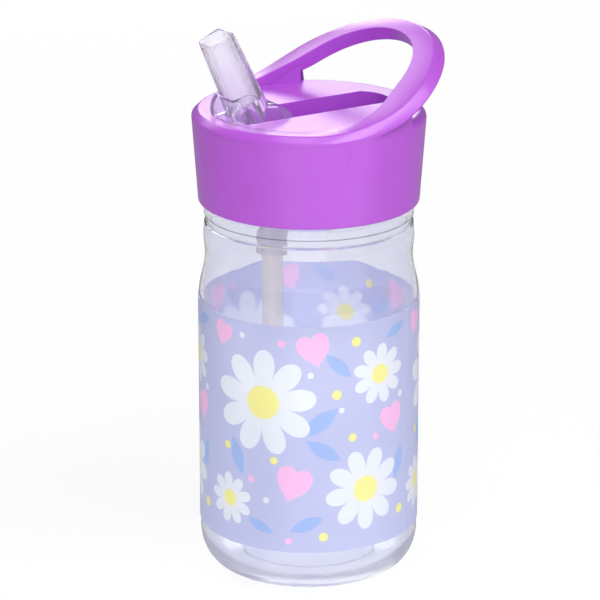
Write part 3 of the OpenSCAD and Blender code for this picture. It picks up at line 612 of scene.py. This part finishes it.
class BOTTLE_OT_body(bpy.types.Operator):
    """Makes the clear bottle with its rounded base, waist, bead and neck"""
    bl_idname = "bottle.body"
    bl_label = "Clear bottle"

    def execute(self, context):
        colours, sizes = context.scene.bottle_colours, context.scene.bottle_sizes
        foot_out, inside = BODY_R - CORNER_W, BODY_R - WALL
        foot_in = foot_out - FOOT_W
        outside = (
            ease((0, PUSH_UP), (foot_in, 0)) + base_corner(BODY_R, 0, CORNER_W, CORNER_H)
            + ease((BODY_R, SHOULDER_Z), (WAIST_R, WAIST_Z)) + ease((WAIST_R, WAIST_TOP_Z), (BEAD_R, BEAD_Z))
            + ease((BEAD_R, BEAD_Z), (LEDGE_R, LEDGE_Z))[1:] + [(GROOVE_R, GROOVE_Z)]
            + [(GROOVE_R, RING_Z), (RING_R, RING_Z)] + ease((RING_R, RING_TOP), (NECK_R, NECK_LOW))
            + [(NECK_R, NECK_TOP)])
        within = (
            [(NECK_IN_R, NECK_TOP)] + ease((NECK_IN_R, NECK_LOW + WALL), (GROOVE_R - WALL, RING_TOP - WALL / 2))
            + ease((GROOVE_R - WALL, GROOVE_Z), (BEAD_R - WALL, BEAD_Z))
            + ease((BEAD_R - WALL, BEAD_Z), (WAIST_R - WALL, WAIST_TOP_Z))[1:]
            + ease((WAIST_R - WALL, WAIST_Z), (inside, SHOULDER_Z))
            + base_corner(inside, FLOOR_T, CORNER_W, CORNER_H - FLOOR_T)[::-1]
            + ease((foot_in, FLOOR_T), (0, PUSH_UP + FLOOR_T)))
        bm = bmesh.new()
        spin_profile(bm, outside + within, sizes.turn_steps)
        bmesh.ops.recalc_face_normals(bm, faces=bm.faces)
        round_rings(bm, [(LEDGE_R, LEDGE_Z), (GROOVE_R, GROOVE_Z), (GROOVE_R, RING_Z), (RING_R, RING_Z)],
                    sizes.ring_round / MM, 2)
        round_rings(bm, [(NECK_R, NECK_TOP), (NECK_IN_R, NECK_TOP)], sizes.edge_round / MM, 3)
        mesh = to_mesh("bottle_skin", bm)
        for start in range(THREAD_STARTS):
            mesh = trimmed(mesh, self.ridge(360 * start / THREAD_STARTS), "UNION")
        bm = bmesh.new()
        bm.from_mesh(mesh)
        made = new_piece("clear_bottle", bm, "bottle", "clear_body",
                         clear_copolyester("Clear copolyester, blow moulded", colours.clear_tint, colours.clear_haze,
                                           roughness=0.02, haze=0.05, has_foot=True), "bottle_body")
        shade(made, 40)
        return {"FINISHED"}

    def ridge(self, turned, steps=96):
        """One start of the screw thread, a ridge that climbs round the neck."""
        bm = bmesh.new()
        root, crest = NECK_R - RIDGE_SINK, NECK_R + THREAD_DEPTH
        section = ((root, -RIDGE_ROOT), (crest, -RIDGE_CREST), (crest, RIDGE_CREST), (root, RIDGE_ROOT))
        bm.faces.new([bm.verts.new((r * MM, 0, z / 2 * MM)) for r, z in section])
        rise = THREAD_LEAD * THREAD_TURN / 360
        bmesh.ops.spin(bm, geom=bm.verts[:] + bm.edges[:] + bm.faces[:], cent=(0, 0, 0), axis=(0, 0, 1),
                       dvec=(0, 0, rise / steps * MM), angle=math.radians(THREAD_TURN), steps=steps)
        bmesh.ops.rotate(bm, verts=bm.verts, cent=(0, 0, 0),
                         matrix=Matrix.Rotation(math.radians(THREAD_FROM + turned), 3, "Z"))
        bmesh.ops.translate(bm, verts=bm.verts, vec=(0, 0, (THREAD_Z + THREAD_LEAD * THREAD_FROM / 360) * MM))
        return to_mesh("thread_ridge", bm)


class BOTTLE_OT_wrap(bpy.types.Operator):
    """Dresses the printed film round the body"""
    bl_idname = "bottle.wrap"
    bl_label = "Printed film"

    def execute(self, context):
        dress("printed_wrap", printed_film("Printed polypropylene film", context.scene.bottle_colours))
        return {"FINISHED"}


class BOTTLE_OT_lid(bpy.types.Operator):
    """Makes the screw lid, whose rim runs up into the carry loop"""
    bl_idname = "bottle.lid"
    bl_label = "Screw lid"

    def execute(self, context):
        steps = context.scene.bottle_sizes.turn_steps
        bm = bmesh.new()
        for mesh in (self.core(steps), self.cup(steps), self.rim(steps, context.scene.bottle_sizes.loop_round / MM),
                     self.web(1), self.web(-1)):
            bm.from_mesh(mesh)
        made = new_piece("screw_lid", bm, "cap", "lid_purple", moulded_polypropylene(
            "Polypropylene, moulded and polished", context.scene.bottle_colours.lid), "lid")
        shade(made, 32)
        return {"FINISHED"}

    def core(self, steps):
        """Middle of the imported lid, with its deck, slot and inside, cut free of its outside."""
        bm = bmesh.new()
        low, high = LID_LOW - CORE_DEPTH, DECK_Z - FLUSH
        spin_profile(bm, [(0, low), (CORE_R, low), (CORE_R, high), (0, high)], steps)
        return trimmed(to_mesh("lid_core", cad_copy("lid")), to_mesh("core_limit", bm), "INTERSECT")

    def cup(self, steps):
        """Turned skirt with its rounded lower edge and the soft edge behind the loop."""
        low = [(LID_LOW_R - LID_ROUND * (1 - math.sin(a)), LID_LOW + LID_ROUND * (1 - math.cos(a)))
               for a in quarter(6)]
        wide, tall = LID_R - CUP_IN_R, DECK_Z - 2 * FLUSH - BACK_Z
        back = [(CUP_IN_R + wide * math.cos(a), BACK_Z + tall * math.sin(a)) for a in quarter(14)]
        points = [(CUP_IN_R, LID_LOW)] + low + back
        bm = bmesh.new()
        spin_profile(bm, points + points[:1], steps)
        for v in bm.verts:
            if v.co.z > (BACK_Z + FLUSH) * MM and v.co.y < LID_R * MM * math.sin(math.radians(WEB_TO)):
                self.raise_wall(v)
        return to_mesh("lid_cup", bm)

    def raise_wall(self, v):
        """Runs the skirt's wall on up into the rim, in front and as far as the webs go."""
        if v.co.xy.length < WALL_R * MM:
            v.co.z = (DECK_Z - RIM_H) * MM
        else:
            lip = rim_corners(math.atan2(v.co.y, abs(v.co.x)))[3]
            v.co.z = max(BACK_Z + 2 * FLUSH, lip.z + WALL_LAP) * MM
            v.co.xy *= (min(LID_R, lip.xy.length) - FLUSH) * MM / v.co.xy.length

    def rim(self, steps, rounding):
        """Ring that is the rim of the deck in front and sweeps up into the carry loop."""
        bm = bmesh.new()
        spin_strip(bm, len(rim_section(0, rounding)), steps)
        sections = {}
        for v in bm.verts:
            turn = round(math.atan2(v.co.y, v.co.x) / (2 * math.pi) * steps)
            if turn not in sections:
                sections[turn] = rim_section(turn * 2 * math.pi / steps, rounding)
            v.co = sections[turn][round(-v.co.z)] * MM
        return to_mesh("lid_rim", bm)

    def web(self, side):
        """Web under one side of the loop, flush with the skirt outside and with the finger hole inside."""
        bm = bmesh.new()
        bmesh.ops.create_cube(bm, size=1)
        along = [e for e in bm.edges if abs(e.verts[0].co.x - e.verts[1].co.x) > 0.5]
        bmesh.ops.subdivide_edges(bm, edges=along, cuts=WEB_CUTS, use_grid_fill=True)
        for v in bm.verts:
            outside, high = v.co.y > 0, v.co.z > 0
            drop = WEB_OUT_DROP if outside else WEB_IN_DROP
            theta = math.radians(WEB_FROM + (WEB_TO - WEB_FROM) * (v.co.x + 0.5))
            reach = WEB_R if outside else hole_reach(theta) + WEB_INSET
            y = reach * math.sin(theta)
            top = loop_top(y)[0] - drop if high else BACK_Z
            v.co = Vector((side * reach * math.cos(theta), y, top)) * MM
        return to_mesh("lid_web", bm)


class BOTTLE_OT_spout(bpy.types.Operator):
    """Makes the clear flip-up spout from its drum, foot and bored arm"""
    bl_idname = "bottle.spout"
    bl_label = "Flip-up spout"

    def execute(self, context):
        rounding = context.scene.bottle_sizes.spout_round / MM
        mesh = self.rod(DRUM_R, DRUM_W, 0, 0, rounding)
        for tool in (self.rod(TRUNNION_R, TRUNNION_LEN, 0, 0, rounding / 2), self.foot(rounding), self.arm(rounding)):
            mesh = trimmed(mesh, tool, "UNION")
        for tool in (self.bore(BORE_R, -DRUM_R - OVERCUT, MOUTH_LOW + OVERCUT, BORE_ROUND),
                     self.bore(MOUTH_R, MOUTH_LOW, ARM_LEN + OVERCUT, MOUTH_ROUND)):
            mesh = trimmed(mesh, tool, "DIFFERENCE")
        bm = bmesh.new()
        bm.from_mesh(mesh)
        tint = context.scene.bottle_colours.spout_tint
        made = new_piece("clear_spout_arm", bm, "spout", "clear_spout",
                         clear_copolyester("Clear copolyester, moulded", tint, tint,
                                           roughness=0.04, haze=0.08), "spout")
        made.data.materials.append(clear_copolyester("Clear copolyester, matt from the core", tint, tint,
                                                     roughness=0.3, haze=0.45))
        axis = Vector((0, -math.sin(SPOUT_LEAN), math.cos(SPOUT_LEAN)))
        for face in made.data.polygons:
            spot = face.center / MM - Vector((0, DRUM_Y, DRUM_Z))
            along = spot.dot(axis)
            bored = (spot - along * axis).length < MOUTH_R + MATT_SKIN
            if bored and MOUTH_LOW - MATT_END < along < ARM_LEN - MATT_END:
                face.material_index = 1
        shade(made, 34)
        return {"FINISHED"}

    def place(self, name, bm, lean):
        """Sets a solid made about the drum's axis in its place on the lid."""
        bmesh.ops.rotate(bm, verts=bm.verts, cent=(0, 0, 0), matrix=Matrix.Rotation(lean, 3, "X"))
        bmesh.ops.scale(bm, verts=bm.verts, vec=(MM, MM, MM))
        bmesh.ops.translate(bm, verts=bm.verts, vec=(0, DRUM_Y * MM, DRUM_Z * MM))
        return to_mesh(name, bm)

    def soften(self, bm, edges, rounding):
        """Rounds some edges of a solid."""
        bmesh.ops.bevel(bm, geom=edges, offset=rounding, offset_type="OFFSET", affect="EDGES",
                        segments=4, profile=0.5, material=-1, clamp_overlap=True)

    def rod(self, radius, length, y, z, rounding):
        """Round rod along the hinge, with soft ends."""
        bm = bmesh.new()
        bmesh.ops.create_cone(bm, cap_ends=True, segments=96, radius1=radius, radius2=radius, depth=length)
        self.soften(bm, [e for e in bm.edges if abs(e.verts[0].co.z - e.verts[1].co.z) < 0.01], rounding)
        bmesh.ops.rotate(bm, verts=bm.verts, cent=(0, 0, 0), matrix=Matrix.Rotation(math.pi / 2, 3, "Y"))
        bmesh.ops.translate(bm, verts=bm.verts, vec=(0, y, z))
        return self.place("spout_rod", bm, 0)

    def foot(self, rounding):
        """Rounded hollow foot in front of the arm, open where it meets the deck."""
        bm = bmesh.new()
        bm.from_mesh(self.rod(FOOT_R, FOOT_LEN, FOOT_Y, FOOT_Z, rounding))
        cut = bmesh.ops.bisect_plane(bm, geom=bm.verts[:] + bm.edges[:] + bm.faces[:], dist=MERGE, clear_inner=True,
                                     plane_co=(0, 0, (DRUM_Z + FOOT_LOW) * MM), plane_no=(0, 0, 1))
        bmesh.ops.contextual_create(bm, geom=[g for g in cut["geom_cut"] if isinstance(g, bmesh.types.BMEdge)])
        hollow = self.rod(FOOT_R - FOOT_WALL, FOOT_LEN - 2 * FOOT_WALL, FOOT_Y, FOOT_Z, rounding)
        return trimmed(to_mesh("spout_foot", bm), hollow, "DIFFERENCE")

    def arm(self, rounding):
        """Arm of eight sides that narrows to its tip."""
        def sides(wide, deep, cut):
            quarter = [(wide, cut - wide), (cut - deep, deep)]
            right = quarter + [(-x, y) for x, y in quarter[::-1]]
            return right + [(-x, -y) for x, y in right]
        bm = bmesh.new()
        bmesh.ops.create_circle(bm, cap_ends=True, segments=8, radius=1)
        for v, spot in zip(bm.verts, sides(ARM_W, ARM_D, ARM_CUT)):
            v.co = (*spot, 0)
        top = bmesh.ops.extrude_face_region(bm, geom=bm.faces[:])["geom"]
        for v in (g for g in top if isinstance(g, bmesh.types.BMVert)):
            x, y = (TIP_W, TIP_CUT - TIP_W) if abs(v.co.x) > ARM_W - 0.01 else (TIP_CUT - TIP_D, TIP_D)
            v.co = (math.copysign(x, v.co.x), math.copysign(y, v.co.y), ARM_LEN)
        self.soften(bm, [e for e in bm.edges if e.verts[0].co.z + e.verts[1].co.z > 0.1], rounding)
        return self.place("spout_arm", bm, SPOUT_LEAN)

    def bore(self, radius, low, high, rounding):
        """Bore along the arm, with a rounded floor."""
        bm = bmesh.new()
        bmesh.ops.create_cone(bm, cap_ends=True, segments=72, radius1=radius, radius2=radius, depth=high - low)
        bmesh.ops.translate(bm, verts=bm.verts, vec=(0, 0, (low + high) / 2))
        self.soften(bm, [e for e in bm.edges if e.verts[0].co.z + e.verts[1].co.z < 2 * low + 0.1], rounding)
        return self.place("spout_bore", bm, SPOUT_LEAN)


class BOTTLE_OT_straw(bpy.types.Operator):
    """Dresses the straw"""
    bl_idname = "bottle.straw"
    bl_label = "Straw"

    def execute(self, context):
        dress("straw", milky_plastic("Polyethylene, extruded", context.scene.bottle_colours.straw,
                                     roughness=0.3, through=0.55, see=0.35))
        return {"FINISHED"}


class BOTTLE_OT_seals(bpy.types.Operator):
    """Dresses the soft sleeve, gasket, seal and air valve"""
    bl_idname = "bottle.seals"
    bl_label = "Soft seals"

    def execute(self, context):
        soft = milky_plastic("Silicone, moulded", context.scene.bottle_colours.silicone,
                             roughness=0.4, through=0.5, see=0.3)
        for node in ("straw_sleeve", "lid_gasket", "spout_seal", "vent_valve"):
            dress(node, soft)
        return {"FINISHED"}


class BOTTLE_OT_stage(bpy.types.Operator):
    """Sets the floor, the studio light and the camera"""
    bl_idname = "bottle.stage"
    bl_label = "Stage"

    def execute(self, context):
        scene, stage = context.scene, context.scene.bottle_stage
        bm = bmesh.new()
        bmesh.ops.create_circle(bm, cap_ends=True, segments=96, radius=SWEEP_R)
        mesh = bpy.data.meshes.new("studio_floor")
        bm.to_mesh(mesh)
        bm.free()
        floor = bpy.data.objects.new("studio_floor", mesh)
        scene.collection.objects.link(floor)
        floor.data.materials.append(studio_white("White sweep, painted", scene.bottle_colours.floor))
        self.world(scene, stage)
        for name, place, size, power in SOFTBOXES:
            self.softbox(scene, name, place, size, power)
        self.camera(scene, stage)
        scene.view_settings.view_transform = "Standard"
        return {"FINISHED"}

    def world(self, scene, stage):
        """Studio surround: white behind the object to the eye and through clear plastic, dim in the gloss, and
        with almost no light of its own."""
        made = bpy.data.worlds.new("Studio surround")
        made.use_nodes = True
        tree = made.node_tree
        tree.nodes.clear()
        out = add(tree, "ShaderNodeOutputWorld")
        place = add(tree, "ShaderNodeTexCoord")
        back = (-math.sin(stage.azimuth), math.cos(stage.azimuth), 0)
        behind = add(tree, "ShaderNodeVectorMath", {0: place.outputs["Generated"], 1: back}, operation="DOT_PRODUCT")
        path = add(tree, "ShaderNodeLightPath")
        gloss = add(tree, "ShaderNodeMapRange", {
            "Value": path.outputs["Is Glossy Ray"], "To Min": SURROUND_LIGHT, "To Max": SURROUND_GLOSS}).outputs[0]
        white = add(tree, "ShaderNodeMapRange", {
            "Value": behind.outputs["Value"], "From Min": WHITE_EDGE[0], "From Max": WHITE_EDGE[1],
            "To Min": SURROUND_ASIDE, "To Max": 1.0}).outputs[0]
        clear = add(tree, "ShaderNodeMapRange", {
            "Value": path.outputs["Is Transmission Ray"], "To Min": gloss, "To Max": white}).outputs[0]
        level = add(tree, "ShaderNodeMapRange", {
            "Value": path.outputs["Is Camera Ray"], "To Min": clear, "To Max": 1.0}).outputs[0]
        glow = add(tree, "ShaderNodeBackground", {"Color": WHITE, "Strength": level})
        tree.links.new(glow.outputs["Background"], out.inputs["Surface"])
        scene.world = made

    def softbox(self, scene, name, place, size, power):
        """Lamp that faces the bottle and isn't seen itself."""
        lamp = bpy.data.lights.new(name, "AREA")
        lamp.shape, lamp.size, lamp.size_y, lamp.energy = "RECTANGLE", size[0], size[1], power
        made = bpy.data.objects.new(name, lamp)
        scene.collection.objects.link(made)
        made.location = place
        made.rotation_mode = "QUATERNION"
        made.rotation_quaternion = (Vector(AIM) - Vector(place)).to_track_quat("-Z", "Y")
        made.visible_camera = False
        made.visible_glossy = name not in UNMIRRORED

    def camera(self, scene, stage):
        """Camera that stands where the photograph was taken from."""
        lens = bpy.data.cameras.new("photo_camera")
        lens.lens, lens.sensor_width = stage.lens, 36
        lens.clip_start, lens.clip_end = 0.05, 20
        made = bpy.data.objects.new("photo_camera", lens)
        scene.collection.objects.link(made)
        a = stage.azimuth
        left = Vector((-math.cos(a), -math.sin(a), 0))
        away, up = Vector((math.sin(a), -math.cos(a), 0)), Vector((0, 0, stage.height))
        made.location = away * stage.distance + up + left * stage.side
        made.rotation_euler = (math.pi / 2 - stage.pitch, 0, a)
        scene.camera = made


class BOTTLE_PT_panel(bpy.types.Panel):
    bl_idname = "BOTTLE_PT_panel"
    bl_label = "Water bottle"
    bl_space_type = "VIEW_3D"
    bl_region_type = "UI"
    bl_category = "Bottle"

    def draw(self, context):
        for group in (context.scene.bottle_colours, context.scene.bottle_sizes, context.scene.bottle_stage):
            for name in group.__annotations__:
                self.layout.prop(group, name)
        for step in STEPS:
            self.layout.operator(step.bl_idname)


STEPS = (BOTTLE_OT_body, BOTTLE_OT_wrap, BOTTLE_OT_lid, BOTTLE_OT_spout, BOTTLE_OT_straw, BOTTLE_OT_seals,
         BOTTLE_OT_stage)
GROUPS = {"bottle_colours": BottleColours, "bottle_sizes": BottleSizes, "bottle_stage": BottleStage}


def register():
    for kind in (*GROUPS.values(), *STEPS, BOTTLE_PT_panel):
        bpy.utils.register_class(kind)
    for name, kind in GROUPS.items():
        setattr(bpy.types.Scene, name, PointerProperty(type=kind))


def unregister():
    for name in GROUPS:
        delattr(bpy.types.Scene, name)
    for kind in reversed((*GROUPS.values(), *STEPS, BOTTLE_PT_panel)):
        bpy.utils.unregister_class(kind)


def main():
    register()
    for step in STEPS:
        group, name = step.bl_idname.split(".")
        getattr(getattr(bpy.ops, group), name)()


if __name__ == "__main__":
    main()
